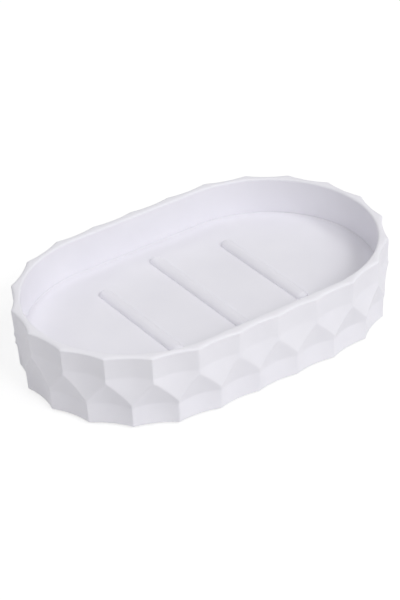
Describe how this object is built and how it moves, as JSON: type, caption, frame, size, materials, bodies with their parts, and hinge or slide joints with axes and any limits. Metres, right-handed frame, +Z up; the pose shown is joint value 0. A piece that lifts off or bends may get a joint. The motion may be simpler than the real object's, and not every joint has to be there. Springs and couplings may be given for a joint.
{
  "type": "soap dish",
  "caption": "Obround white soap dish with a scalloped, faceted wall, a shallow tray with raised ribs across it and anti-slip pads beneath.",
  "frame": {"origin": "on the surface that the dish stands on, under the middle of the dish", "axes": "+X along the length, +Y to the back (across the tray, along the ribs), +Z up"},
  "size_m": [0.1354, 0.0858, 0.0278],
  "materials": {
    "cast_resin": "matte, very fine, cool white",
    "pad_rubber": "soft, satin, pale grey"
  },
  "bodies": {
    "root": {"dish_body": "cast_resin", "foot_pad_front_left": "pad_rubber", "foot_pad_front_right": "pad_rubber", "foot_pad_back_left": "pad_rubber", "foot_pad_back_right": "pad_rubber"}
  },
  "joints": []
}
